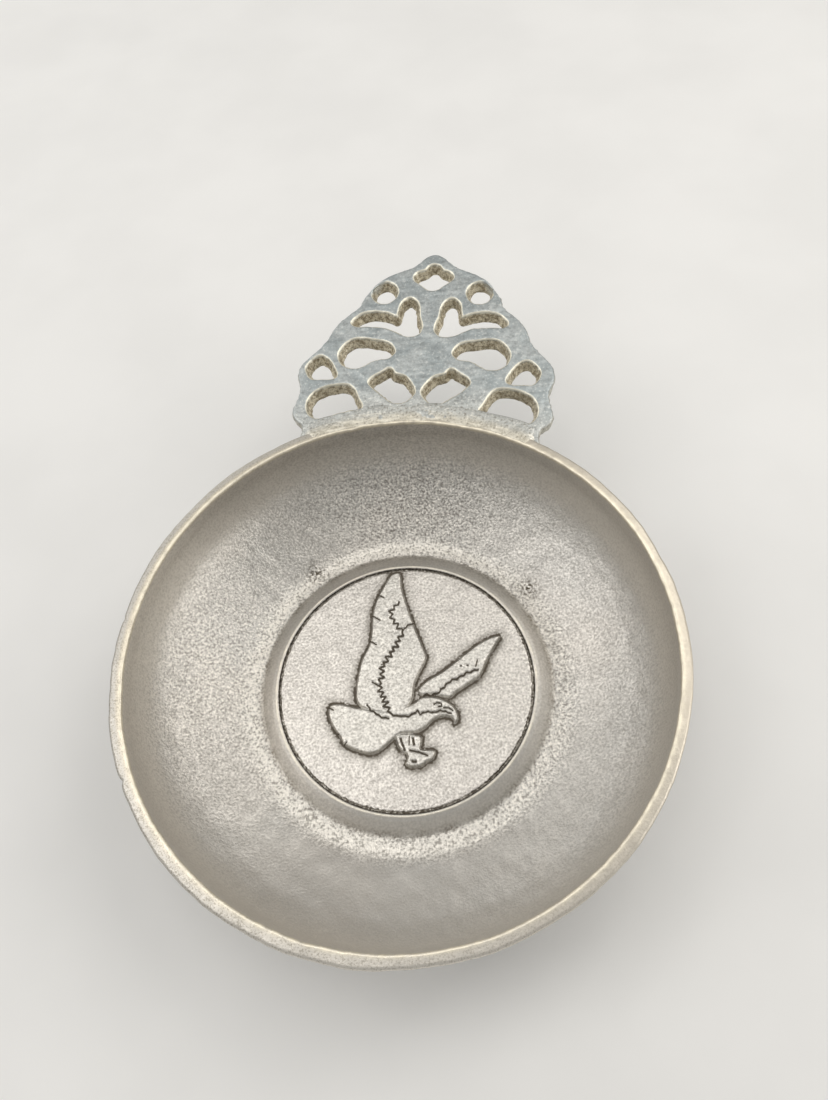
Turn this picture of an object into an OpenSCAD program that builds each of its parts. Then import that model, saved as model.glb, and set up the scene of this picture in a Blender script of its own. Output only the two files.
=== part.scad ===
// Porringer: a shallow cast bowl with one pierced handle and a bird medallion in its floor.
// Millimetres. The origin is the middle of the resting ring's plane, on the bowl's axis.
// +Z is up and the handle points along +Y.

/* [Bowl] */
// Outer radius of the lip
lip_r = 70; // [66:0.5:74]
// Height of the lip above the surface that the bowl stands on
bowl_h = 33; // [30:0.5:36]
// Thickness of the wall
wall_t = 2.4; // [2:0.1:3]
// Width of the flat lip
lip_w = 2.5; // [2.2:0.1:3]
// Radius at which the floor ends and the wall starts
floor_r = 43; // [42:0.5:44]

/* [Boss and medallion] */
// Height of the boss above the floor around it
boss_h = 2.2; // [1.8:0.1:2.6]
// Radius of the seat that holds the medallion
seat_r = 35; // [34:0.5:36]
// Gap around the medallion in its seat
disc_gap = 0.4; // [0.2:0.1:0.6]
// Thickness of the medallion
disc_t = 1.6; // [1.2:0.1:1.8]
// Height of the bird above the medallion
relief_h = 0.8; // [0.5:0.1:1.2]

/* [Handle] */
// Thickness of the handle
handle_t = 4; // [3:0.5:5]
// Rise of the handle towards its tip, in degrees
handle_tilt = 4.25; // [3:0.25:6]
// Radius of the two round holes
round_hole_r = 3.8; // [3:0.1:4]
// Distance of each round hole from the handle's middle line
round_hole_x = 14.8; // [14:0.1:15.5]
// Distance of the round holes from the bowl's axis, along the handle
round_hole_y = 116; // [115:0.5:117]

/* [Solder] */
// Height of the seam above the lip
seam_h = 0.7; // [0.4:0.1:1]
// Half of the angle that the seams span around the bowl
seam_angle = 27.5; // [26:0.5:29]

/* [Hidden] */

$fn = 96;
floor_z = 3.5;                  // floor inside the bowl
recess_z = 1.2;                 // underside of the boss above the resting plane
foot_out_r = floor_r + 4;       // outer radius of the resting ring
foot_in_r = floor_r - 3;        // inner radius of the resting ring
foot_step = 0.2;                // least step out from the resting ring to the wall's outside
boss_foot_r = seat_r + 5.1;     // foot of the boss's sloping side
boss_top_z = floor_z + boss_h;
seat_z = 3.4;                   // floor of the medallion's seat
disc_r = seat_r - disc_gap;
disc_sink = 0.3;                // how far the medallion lies below the ring round it
disc_top_z = boss_top_z - disc_sink;
boss_lip_w = 1.2;               // width of the ring that stands round the medallion
disc_chamfer = 0.2;             // broken edge of the medallion
gap_open = 0.4;                 // how far the solder in the gap stays below the medallion's top
seam_in_r = lip_r - lip_w + 0.6;    // inner edge of the top seam, on the lip
seam_out_r = lip_r + 4;             // outer edge of the top seam, on the handle
seam_slope = 0.8;               // width of the top seam's slope on the lip's side
seam_flat = 1.5;                // how far its flat top reaches past the lip
seam_fall = 0.9;                // fall from that top to its outer edge
seam_fill = 1.6;                // how far it fills the corner below the lip's top
under_h = 7;                    // depth of the under seam's foot below the lip
under_foot = 1.4;               // how far the under seam stands outside the lip at its foot
under_head = 3.6;               // how far it stands outside the lip under the plate
root_plate = [100, 90];         // width and length of the uncut plate that the seams are laid on
root_back = 22;                 // how far that plate reaches back over the bowl
overlap = 1;                    // extra length of a cutting solid past what it cuts
plug_h = 10;                    // how far a cutter shaped like the bowl's outside reaches above the lip
edge_round = 0.6;               // rounding of the lip's outer corner
lip_depth = 2;                  // how far below the lip the curve of the wall's inside ends
edge_chamfer = 0.3;             // chamfers of the lip's inner corner and of the seat's lip
seam_root = 3;                  // depth of the under seam's top below the lip, inside the plate

// Smooth closed curve through a loop of points, and smooth open curve from the second point of a row
// to the last but one
function between(a, b, c, d, t) =
    (2 * b + (c - a) * t + (2 * a - 5 * b + 4 * c - d) * t * t + (3 * b - a - 3 * c + d) * t * t * t) / 2;
function smooth(p, steps = 4) =
    let (n = len(p))
    [for (i = [0 : n - 1]) for (j = [0 : steps - 1])
        between(p[(i + n - 1) % n], p[i], p[(i + 1) % n], p[(i + 2) % n], j / steps)];
function smooth_row(p, steps = 3) = concat(
    [for (i = [1 : len(p) - 3]) for (j = [0 : steps - 1])
        between(p[i - 1], p[i], p[i + 1], p[i + 2], j / steps)],
    [p[len(p) - 2]]
);

// Half of a symmetric outline, from the bottom up, closed by its mirror image
function both_sides(p) =
    concat(p, [for (i = [len(p) - 1 : -1 : 0]) if (p[i][0] > 0) [-p[i][0], p[i][1]]]);

// Handle outline, right half, in the handle's own plane: y runs from the bowl's axis.
// It has a notch at its root, where it leaves the lip.
HANDLE_EDGE = [
    [0, 58], [20, 58], [32, 58], [34.4, 60], [34, 63.5], [34.4, 66], [36.8, 67.9], [37.8, 70.5],
    [37.5, 73.4], [36.8, 76], [36.7, 78.8], [37.6, 81.8], [38.2, 84.8], [37.2, 88.7], [35.2, 91.5],
    [33, 94], [31.2, 96.8], [30, 100.4], [28.6, 103.4], [26.7, 106], [24.2, 108.6], [22.3, 110.8],
    [21.6, 113.4], [20.2, 116.3], [18.5, 119], [16.4, 121.4], [13.9, 123.2], [10.8, 124.9], [7.7, 126.3],
    [4.9, 128.6], [2.4, 131.2], [0, 132.2]
];
TREFOIL = [
    [0, 117.1], [1.6, 117.7], [3.4, 119.4], [5.4, 121], [5.9, 122.8], [4.6, 124.4], [2.6, 125.2],
    [1.4, 126.9], [0, 127.4]
];
SCROLL = [
    [23.6, 103.9], [22.7, 105.7], [20.4, 107.6], [16.8, 108.2], [13, 107.6], [10, 106.3], [9.4, 108.2],
    [8.8, 111.8], [6.6, 113.8], [4.5, 112.2], [3.6, 109.6], [3.4, 106.6], [2.4, 103.4], [2.6, 100.8],
    [4.4, 99.4], [7, 99.5], [10.4, 101.2], [13.8, 102.6], [17.6, 102.9], [21.8, 102.9]
];
BEAN = [
    [9.1, 92.8], [9.9, 95.2], [12, 96.7], [15.2, 97.2], [18.6, 97.8], [21.6, 97.6], [24.2, 95.4],
    [25.4, 92.4], [24.6, 89.4], [22.4, 87.5], [19.4, 87.3], [16.8, 88.8], [14.2, 90.5], [11, 91]
];
SMALL_ARCH = [
    [34.5, 86.2], [33.4, 88.8], [31.2, 90.6], [28.8, 89.5], [26.8, 86.8], [25.4, 83.6], [27, 82.6],
    [30, 82.6], [32.8, 82.8]
];
LEAF = [
    [1.3, 79.2], [2.7, 82], [4.6, 84.2], [7.4, 85.1], [9.1, 87.1], [11, 85.7], [13.7, 83.8], [14.6, 82],
    [12.4, 79.5], [9.6, 77.2], [7, 75.2], [4.4, 75.2], [2.1, 77]
];
ARCH = [
    [17.3, 73.2], [18.8, 75.8], [20.2, 78.8], [22.2, 80.4], [25.8, 80.3], [29.4, 79.2], [32, 77.2],
    [33.2, 74.2], [32.6, 71], [30.6, 69.2], [27.6, 69.4], [24, 70.8], [20.2, 71.9], [17.8, 72.3]
];
// The piercings were sawn by hand, so each pair sits a little off the middle line.
// Each row is an outline, its shift sideways, its shift along the handle, and how much lower the
// right hole is than the pair's middle.
PAIRS = [
    [SCROLL, -0.1, -0.1, 0.1],
    [BEAN, -0.8, -0.2, 0.1],
    [SMALL_ARCH, -1, -0.2, 0.6],
    [LEAF, -1.3, -0.3, 0],
    [ARCH, -0.2, -0.4, 0.4]
];

// Bird, in the plane of the medallion
BODY = [
    [-9.5, -8.3], [-13, -8], [-17, -7.3], [-19.8, -8], [-20, -10.5], [-18.4, -13.8], [-15.6, -17],
    [-14.6, -18.6], [-11, -20], [-7.4, -20.6], [-4.6, -19.5], [-1.6, -16.4], [0.6, -14.6], [4.2, -14.1],
    [6.6, -12.7], [8.8, -10.3], [10.8, -9.3], [12.8, -9.2], [13.7, -9.8], [14.2, -11], [15.3, -9.8],
    [15, -7.8], [13.6, -5.8], [11.4, -4.5], [8.6, -3.7], [5, -4], [2, -6.4], [-4, -8.4]
];
TALL_WING = [
    [-12.6, -6.8], [-13.4, -2.8], [-13.3, 1.6], [-12.8, 5.8], [-11.3, 10.2], [-11.2, 14.6], [-11.5, 20],
    [-10.8, 24.6], [-8.8, 30], [-7.3, 32.8], [-4.6, 33.2], [-3.6, 28.4], [-1.6, 23], [1.4, 16],
    [4.2, 10.2], [5.4, 7.2], [4.2, 3.6], [2.8, -0.6], [2.6, -5], [0, -8.6], [-6, -9.4], [-10, -8.6]
];
FAR_WING = [
    [3.6, -2.2], [6, 0.8], [10.2, 3.8], [15, 8.4], [19.6, 12.6], [23.6, 14.9], [25.4, 14.7], [24, 11.6],
    [22.2, 7.6], [20.5, 2.9], [17.4, 0.2], [14.2, -2.4], [12.4, -4], [8.6, -3.4], [5, -3.9]
];
TALONS = [
    [-0.8, -14.6], [-0.5, -17.4], [0.6, -19], [2.3, -20], [2.4, -21.2], [2.1, -22.3], [3, -23.1],
    [4.7, -23.2], [6.7, -22.7], [7.8, -21.7], [9.2, -20.9], [10, -19.4], [9.9, -18.4], [8.9, -18],
    [6.1, -18.1], [6.2, -16.6], [5.4, -14.4]
];

/* ---- Bowl ---- */

// Inside of the wall from the floor up, as shares of its width and of its height: it leaves the floor
// level, rises at an even slope and ends steep
WALL = [
    [-0.08, 0], [0, 0], [0.06, 0.007], [0.12, 0.025], [0.28, 0.095], [0.44, 0.17], [0.605, 0.26],
    [0.725, 0.34], [0.845, 0.45], [0.925, 0.565], [0.98, 0.71], [1, 0.855], [1, 1]
];
wall_top_r = lip_r - lip_w + edge_chamfer;
wall_w = wall_top_r - floor_r;
wall_h = bowl_h - floor_z - lip_depth;
INSIDE = [for (p = smooth_row(WALL)) [floor_r + wall_w * p[0], floor_z + wall_h * p[1]]];

// The wall's outside lies its thickness away from its inside
function heading(p, i) = p[min(i + 1, len(p) - 1)] - p[max(i - 1, 0)];
function outward(v) = [v[1], -v[0]] / norm(v);
OFFSET = [for (i = [0 : len(INSIDE) - 1]) INSIDE[i] + wall_t * outward(heading(INSIDE, i))];
LIP_EDGE = [for (t = [0 : 30 : 90]) [lip_r, bowl_h] - edge_round * [1 - cos(t), 1 - sin(t)]];
OUTSIDE = concat([[foot_out_r, 0]], [for (p = OFFSET) if (p[0] > foot_out_r + foot_step) p], LIP_EDGE);

module bowl_section() {
    polygon(concat(
        [[0, recess_z], [foot_in_r - recess_z, recess_z], [foot_in_r, 0]],
        OUTSIDE,
        [[wall_top_r, bowl_h], [lip_r - lip_w, bowl_h - edge_chamfer]],
        [for (i = [len(INSIDE) - 1 : -1 : 0]) INSIDE[i]],
        [[boss_foot_r, floor_z], [seat_r + boss_lip_w, boss_top_z - edge_chamfer]],
        [[seat_r + boss_lip_w / 2, boss_top_z], [seat_r + edge_chamfer, boss_top_z]],
        [[seat_r, boss_top_z - edge_chamfer], [seat_r, seat_z], [0, seat_z]]
    ));
}

// The bowl's outside as one plug that carries on above the lip, to cut what is joined to it
module outside_plug() {
    top_z = bowl_h + plug_h;
    rotate_extrude($fn = 180) polygon(concat([[0, 0]], OUTSIDE, [[lip_r, top_z], [0, top_z]]));
}

module bowl() {
    color([0.60, 0.59, 0.57]) rotate_extrude($fn = 180) bowl_section();
}

/* ---- Handle ---- */

// Puts a shape drawn in the handle's plane on the bowl: its top face hinges up at the lip
module in_handle_plane() {
    translate([0, lip_r, bowl_h]) rotate([handle_tilt, 0, 0]) translate([0, -lip_r, 0]) children();
}

module pierced_plate() {
    difference() {
        translate([0, 0, -handle_t]) linear_extrude(handle_t) polygon(smooth(both_sides(HANDLE_EDGE), 3));
        translate([0, 0, -handle_t - overlap]) linear_extrude(handle_t + 2 * overlap) {
            polygon(smooth(both_sides(TREFOIL), 3));
            for (pair = PAIRS, side = [-1, 1])
                translate([pair[1], pair[2] - side * pair[3]])
                    polygon([for (p = smooth(pair[0], 3)) [side * p[0], p[1]]]);
        }
        for (side = [-1, 1]) translate([side * round_hole_x, round_hole_y, -handle_t - overlap])
            cylinder(r = round_hole_r, h = handle_t + 2 * overlap);
    }
}

module handle() {
    color([0.68, 0.70, 0.71]) difference() {
        in_handle_plane() pierced_plate();
        outside_plug();
    }
}

/* ---- Solder ---- */

// A bead along the handle's root, laid on the solid plate that the handle is cut from
module seam(section) {
    difference() {
        rotate([0, 0, 90 - seam_angle]) rotate_extrude(angle = 2 * seam_angle, $fn = 180) polygon(section);
        in_handle_plane() translate([-root_plate[0] / 2, lip_r - root_back, -handle_t])
            cube([root_plate[0], root_plate[1], handle_t]);
    }
}

module solder_seam_top() {
    color([0.66, 0.63, 0.57]) seam(concat(
        [[seam_in_r, bowl_h], [seam_in_r + seam_slope, bowl_h + seam_h]],
        [[lip_r + seam_flat, bowl_h + seam_h], [seam_out_r, bowl_h + seam_h - seam_fall]],
        [[seam_out_r, bowl_h - seam_fill], [lip_r, bowl_h - seam_fill]],
        LIP_EDGE
    ));
}

module solder_seam_under() {
    color([0.66, 0.63, 0.57]) difference() {
        seam([
            [lip_r - overlap, bowl_h - under_h], [lip_r - overlap, bowl_h - seam_root],
            [lip_r + under_head, bowl_h - seam_root], [lip_r + under_foot, bowl_h - under_h]
        ]);
        outside_plug();
    }
}

/* ---- Medallion ---- */

module medallion() {
    body_h = disc_t - disc_chamfer;
    color([0.70, 0.69, 0.67]) translate([0, 0, disc_top_z - disc_t]) {
        cylinder(r = disc_r, h = body_h, $fn = 180);
        translate([0, 0, body_h])
            cylinder(r1 = disc_r, r2 = disc_r - disc_chamfer, h = disc_chamfer, $fn = 180);
    }
}

// The layer under the medallion, which also fills most of the gap round it
module medallion_solder() {
    under_z = disc_top_z - disc_t;
    gap_z = disc_top_z - gap_open;
    color([0.40, 0.38, 0.34]) rotate_extrude($fn = 180) polygon([
        [0, seat_z], [seat_r, seat_z], [seat_r, gap_z], [disc_r, gap_z], [disc_r, under_z], [0, under_z]
    ]);
}

module bird_relief() {
    color([0.74, 0.73, 0.71]) translate([0, 0, disc_top_z]) linear_extrude(relief_h) {
        polygon(smooth(BODY, 2));
        polygon(smooth(TALL_WING, 2));
        polygon(smooth(FAR_WING, 2));
        polygon(smooth(TALONS, 2));
    }
}

bowl();
handle();
solder_seam_top();
solder_seam_under();
medallion();
medallion_solder();
bird_relief();
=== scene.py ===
"""Cast-metal porringer: a shallow bowl, a pierced handle and a bird medallion.

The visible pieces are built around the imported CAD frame, one for each of its nodes."""

import math

import bpy
import numpy as np
from mathutils import Matrix, Vector
from mathutils.geometry import delaunay_2d_cdt


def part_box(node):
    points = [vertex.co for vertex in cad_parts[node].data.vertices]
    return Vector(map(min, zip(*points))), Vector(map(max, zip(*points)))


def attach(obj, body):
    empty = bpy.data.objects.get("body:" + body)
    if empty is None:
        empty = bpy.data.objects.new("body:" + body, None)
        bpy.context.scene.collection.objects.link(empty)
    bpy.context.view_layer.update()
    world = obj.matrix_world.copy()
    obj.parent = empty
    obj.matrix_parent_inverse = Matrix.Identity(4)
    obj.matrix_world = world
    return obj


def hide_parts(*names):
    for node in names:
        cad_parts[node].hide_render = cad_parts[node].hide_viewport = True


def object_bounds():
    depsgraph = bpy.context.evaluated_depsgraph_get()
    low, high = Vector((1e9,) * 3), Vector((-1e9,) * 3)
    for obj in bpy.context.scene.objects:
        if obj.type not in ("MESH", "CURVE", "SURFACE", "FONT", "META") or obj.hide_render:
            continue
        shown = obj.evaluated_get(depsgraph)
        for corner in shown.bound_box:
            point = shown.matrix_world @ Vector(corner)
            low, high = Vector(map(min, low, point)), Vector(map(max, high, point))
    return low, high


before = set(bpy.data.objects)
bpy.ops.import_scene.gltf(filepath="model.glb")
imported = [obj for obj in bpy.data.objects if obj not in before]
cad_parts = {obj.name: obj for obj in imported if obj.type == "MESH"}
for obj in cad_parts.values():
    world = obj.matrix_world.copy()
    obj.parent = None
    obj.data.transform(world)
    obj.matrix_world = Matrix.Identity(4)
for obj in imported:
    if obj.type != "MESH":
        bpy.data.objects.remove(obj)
cad_low, cad_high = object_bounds()

MM = 0.001

# ---------------------------------------------------------------- sizes, in millimetres

LIP_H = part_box("bowl")[1][2] / MM               # height of the lip
DISC_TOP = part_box("medallion")[1][2] / MM       # top face of the medallion
DISC_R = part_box("medallion")[1][0] / MM
RELIEF_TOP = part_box("bird_relief")[1][2] / MM

LIP_R = 70.0            # outer edge of the lip
LIP_IN_R = 67.5         # inner edge of the lip
WALL_R = 67.8           # inside of the wall under the lip
WALL_MID_R = 50         # where directions along the sloping wall are measured
WALL_T = 2.4
FLOOR_Z = 3.5
RECESS_Z = 1.2          # underside of the floor, inside the resting ring
FOOT_R = 47.0           # outside of the resting ring
FOOT_IN_R = 40.0        # inside of the resting ring
BOSS_FOOT_R = 40.1      # foot of the boss's sloping side
SEAT_R = 35.0           # seat for the medallion, sunk into the boss
SEAT_Z = 3.4
BOSS_Z = FLOOR_Z + 2.2
MIDDLE_R = 0.05         # smallest ring of a turned body, which a flat face closes

HANDLE_T = 4.0
HANDLE_TILT = math.radians(4.25)
ROOT_R = 68.8           # the plate ends inside the lip, along this radius
EDGE_STEPS = 5          # points on each stretch of a drawn outline

SEAM_HALF_ANGLE = 27.5  # degrees covered to each side of the handle's middle line
SEAM_R = 68.1           # inner edge of the upper seam
SEAM_W = 6.4
UNDER_SEAM_R = 69.9     # where the lower seam leaves the wall
UNDER_SEAM_W = 3.2
UNDER_SEAM_DROP = 6.6   # how far below the lip it starts


# ---------------------------------------------------------------- helpers

def lumps(points, size, seed, waves=28):
    """Smooth random field of about unit height, with lumps of the given size, at N x 3 points."""
    rng = np.random.default_rng(seed)
    directions = rng.normal(size=(waves, 3))
    directions /= np.linalg.norm(directions, axis=1)[:, None]
    lengths = size * rng.uniform(0.75, 1.5, waves)
    phases = rng.uniform(0, 2 * math.pi, waves)
    waves_at = np.cos(points @ (directions / lengths[:, None]).T * 2 * math.pi + phases)
    return waves_at.sum(axis=1) / math.sqrt(waves / 2)


def smoothstep(low, high, value):
    t = np.clip((value - low) / (high - low), 0, 1)
    return t * t * (3 - 2 * t)


def smooth_loop(points, steps):
    """Closed smooth curve through a loop of 2-D points."""
    p = np.array(points, float)
    before, after, later = np.roll(p, 1, 0), np.roll(p, -1, 0), np.roll(p, -2, 0)
    out = []
    for j in range(steps):
        t = j / steps
        out.append(0.5 * (2 * p + (after - before) * t + (2 * before - 5 * p + 4 * after - later) * t * t
                          + (3 * p - before - 3 * after + later) * t ** 3))
    return np.stack(out, axis=1).reshape(-1, 2)


def both_sides(points):
    """A symmetric outline from its right half, which runs from the middle line to the middle line."""
    mirrored = [(-x, y) for x, y in reversed(points) if x > 0]
    return list(points) + mirrored


def circle(angles, radius):
    """Points on a circle round the axis, as an N x 3 array."""
    return np.stack([np.cos(angles), np.sin(angles), 0 * angles], 1) * radius


def all_round(count):
    """Evenly spaced angles of a full turn."""
    return np.arange(count) * 2 * math.pi / count


def build(name, vertices, faces):
    """A mesh object from vertices in millimetres."""
    mesh = bpy.data.meshes.new(name)
    mesh.from_pydata((np.asarray(vertices) * MM).tolist(), [], [list(f) for f in faces])
    mesh.update()
    mesh.shade_smooth()
    obj = bpy.data.objects.new(name, mesh)
    bpy.context.scene.collection.objects.link(obj)
    return obj


def paint(obj, name, values):
    """Stores one number per vertex for the materials to read."""
    layer = obj.data.attributes.new(name, "FLOAT", "POINT")
    layer.data.foreach_set("value", np.asarray(values, np.float32))


def positions(obj):
    """The vertices of a mesh in millimetres, as an N x 3 array."""
    flat = np.empty(len(obj.data.vertices) * 3)
    obj.data.vertices.foreach_get("co", flat)
    return flat.reshape(-1, 3) / MM


def set_positions(obj, points):
    obj.data.vertices.foreach_set("co", (points * MM).ravel())
    obj.data.update()


def grid_faces(rows, columns, closed):
    """Quads of a rows x columns grid of vertices, joined round in the column direction if closed."""
    i = np.arange(rows - 1)[:, None]
    j = np.arange(columns if closed else columns - 1)[None, :]
    k = (j + 1) % columns
    corners = (i * columns + j, i * columns + k, (i + 1) * columns + k, (i + 1) * columns + j)
    return np.stack(np.broadcast_arrays(*corners), axis=-1).reshape(-1, 4)


def turned_faces(rows, columns, top_first=False):
    """Outward faces of a body turned about Z, closed in the middle of its underside and of its top.

    Its section runs from the middle of the underside to the middle of the top, or back if top_first."""
    ring = np.arange(columns)
    faces = grid_faces(rows, columns, True).tolist()
    faces.append(ring[::-1].tolist())
    faces.append((ring + (rows - 1) * columns).tolist())
    return [face[::-1] for face in faces] if top_first else faces


def apply_modifiers(obj):
    """Turns a mesh and its modifiers into a plain mesh."""
    graph = bpy.context.evaluated_depsgraph_get()
    mesh = bpy.data.meshes.new_from_object(obj.evaluated_get(graph))
    obj.modifiers.clear()
    old = obj.data
    obj.data = mesh
    bpy.data.meshes.remove(old)
    mesh.shade_smooth()


def distance_to_loop(points, loop):
    """Distance from 2-D points to a closed polyline, negative inside it."""
    a, b = loop, np.roll(loop, -1, 0)
    nearest = np.full(len(points), 1e9)
    inside = np.zeros(len(points), bool)
    x, y = points[:, 0], points[:, 1]
    for (ax, ay), (bx, by) in zip(a, b):
        dx, dy = bx - ax, by - ay
        length = dx * dx + dy * dy
        t = np.clip(((x - ax) * dx + (y - ay) * dy) / max(length, 1e-12), 0, 1)
        nearest = np.minimum(nearest, (x - ax - t * dx) ** 2 + (y - ay - t * dy) ** 2)
        if ay != by:
            crosses = ((ay > y) != (by > y)) & (x < dx * (y - ay) / dy + ax)
            inside ^= crosses
    distance = np.sqrt(nearest)
    return np.where(inside, -distance, distance)


def distance_to_line(points, line):
    """Distance from 2-D points to an open polyline."""
    nearest = np.full(len(points), 1e9)
    x, y = points[:, 0], points[:, 1]
    for (ax, ay), (bx, by) in zip(line[:-1], line[1:]):
        dx, dy = bx - ax, by - ay
        t = np.clip(((x - ax) * dx + (y - ay) * dy) / max(dx * dx + dy * dy, 1e-12), 0, 1)
        nearest = np.minimum(nearest, (x - ax - t * dx) ** 2 + (y - ay - t * dy) ** 2)
    return np.sqrt(nearest)


# ---------------------------------------------------------------- materials

# Sockets of the Mix node's colour mode, whose names it shares with its other modes
COLOUR_A, COLOUR_B, COLOUR_RESULT = 6, 7, 2


class Paint:
    """A node material built a few nodes at a time."""

    def __init__(self, name, metallic=1.0):
        self.material = bpy.data.materials.new(name)
        self.material.use_nodes = True
        self.tree = self.material.node_tree
        self.shader = self.tree.nodes["Principled BSDF"]
        self.shader.inputs["Metallic"].default_value = metallic
        self.place = self.node("ShaderNodeTexCoord").outputs["Object"]

    def node(self, kind, **values):
        made = self.tree.nodes.new(kind)
        for key, value in values.items():
            setattr(made, key, value)
        return made

    def link(self, source, target):
        self.tree.links.new(source, target)

    def feed(self, target, value):
        """Sets a socket to a constant, or links another socket to it."""
        if isinstance(value, bpy.types.NodeSocket):
            self.link(value, target)
        elif isinstance(value, tuple) and len(value) == 3:
            target.default_value = (*value, 1.0)
        else:
            target.default_value = value

    def noise(self, size_mm, detail=3.0, roughness=0.55):
        made = self.node("ShaderNodeTexNoise")
        self.link(self.place, made.inputs["Vector"])
        made.inputs["Scale"].default_value = 1 / (size_mm * MM)
        made.inputs["Detail"].default_value = detail
        made.inputs["Roughness"].default_value = roughness
        return made.outputs["Fac"]

    def mask(self, name):
        """The number painted on each vertex under this name."""
        return self.node("ShaderNodeAttribute", attribute_name=name).outputs["Fac"]

    def span(self, value, low, high, out_low=0.0, out_high=1.0):
        """Maps low..high to out_low..out_high, with soft ends."""
        made = self.node("ShaderNodeMapRange", interpolation_type="SMOOTHSTEP")
        self.feed(made.inputs["Value"], value)
        ends = {"From Min": low, "From Max": high, "To Min": out_low, "To Max": out_high}
        for key, number in ends.items():
            made.inputs[key].default_value = number
        return made.outputs["Result"]

    def math(self, operation, first, second):
        made = self.node("ShaderNodeMath", operation=operation)
        self.feed(made.inputs[0], first)
        self.feed(made.inputs[1], second)
        return made.outputs["Value"]

    def times(self, first, second):
        return self.math("MULTIPLY", first, second)

    def plus(self, first, second):
        return self.math("ADD", first, second)

    def mix(self, amount, first, second):
        """Colour between first and second."""
        made = self.node("ShaderNodeMix", data_type="RGBA")
        self.feed(made.inputs["Factor"], amount)
        self.feed(made.inputs[COLOUR_A], first)
        self.feed(made.inputs[COLOUR_B], second)
        return made.outputs[COLOUR_RESULT]

    def bump(self, height, depth_mm, strength=1.0, below=None):
        made = self.node("ShaderNodeBump")
        self.feed(made.inputs["Height"], height)
        self.feed(made.inputs["Strength"], strength)
        made.inputs["Distance"].default_value = depth_mm * MM
        if below is not None:
            self.link(below, made.inputs["Normal"])
        return made.outputs["Normal"]

    def gritty(self, name):
        """A painted mask whose soft border is broken up into grit."""
        grit = self.times(self.math("SUBTRACT", self.noise(0.6, 3.0, 0.65), 0.5), 1.3)
        return self.span(self.plus(self.mask(name), grit), 0.36, 0.62)

    def finish(self, colour, roughness, normal):
        self.feed(self.shader.inputs["Base Color"], colour)
        self.feed(self.shader.inputs["Roughness"], roughness)
        self.feed(self.shader.inputs["Normal"], normal)
        return self.material


def bowl_metal():
    """Fine casting grain where "grain" is painted, paler with painted light on the floor ring and walls,
    cream along the lip.
    """
    m = Paint("cast_bowl_metal")
    grain = m.noise(0.64, 3.0, 0.6)
    fine = m.noise(0.38, 2.0, 0.5)
    patches = m.noise(15.0, 4.0, 0.6)
    cloud = m.noise(50.0, 2.0, 0.5)
    rough_zone = m.mask("grain")
    base = m.mix(m.span(patches, 0.35, 0.65), (0.555, 0.532, 0.50), (0.60, 0.572, 0.535))
    base = m.mix(m.span(cloud, 0.4, 0.6, 0.0, 0.25), base, (0.56, 0.57, 0.56))
    # painted light: a paler floor ring round the boss and paler upper and near walls
    base = m.mix(m.mask("tone_weight"), base, (0.80, 0.772, 0.72))
    pits = m.times(m.span(grain, 0.37, 0.49, 1.0, 0.0), rough_zone)
    base = m.mix(m.times(pits, 0.62), base, (0.20, 0.185, 0.165))
    peaks = m.times(m.span(grain, 0.52, 0.62), rough_zone)
    base = m.mix(m.times(peaks, 0.6), base, (0.97, 0.93, 0.86))
    base = m.mix(m.mask("lip"), base, (0.61, 0.56, 0.475))
    # painted shade on the lip's rounded outer part, strongest on the left
    base = m.mix(m.mask("lip_outer_shade"), base, (0.54, 0.52, 0.485))
    # painted light: the near side of the lip paler
    base = m.mix(m.mask("lip_near_light"), base, (0.80, 0.765, 0.705))
    # painted highlights along the lip's inner edge and on the boss's crown
    base = m.mix(m.mask("edge"), base, (0.93, 0.865, 0.715))
    specks = m.times(m.span(fine, 0.40, 0.47, 0.6, 0.0), m.mask("specks"))
    base = m.mix(specks, base, (0.30, 0.27, 0.21))
    soot = m.times(m.mask("soot"), m.span(m.noise(0.8, 3.0, 0.7), 0.47, 0.56))
    base = m.mix(soot, base, (0.09, 0.075, 0.055))
    # painted shade along the boss's foot and on parts of the wall
    shade = m.times(m.mask("shade"), m.span(grain, 0.35, 0.6, 1.0, 0.45))
    base = m.mix(shade, base, (0.22, 0.195, 0.16))
    base = m.mix(m.gritty("dark"), base, (0.12, 0.105, 0.09))
    rough = m.span(grain, 0.35, 0.65, 0.50, 0.40)
    depth = m.plus(0.22, m.times(rough_zone, 0.78))
    normal = m.bump(grain, 0.24, depth)
    normal = m.bump(fine, 0.05, depth, normal)
    return m.finish(base, rough, normal)


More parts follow.
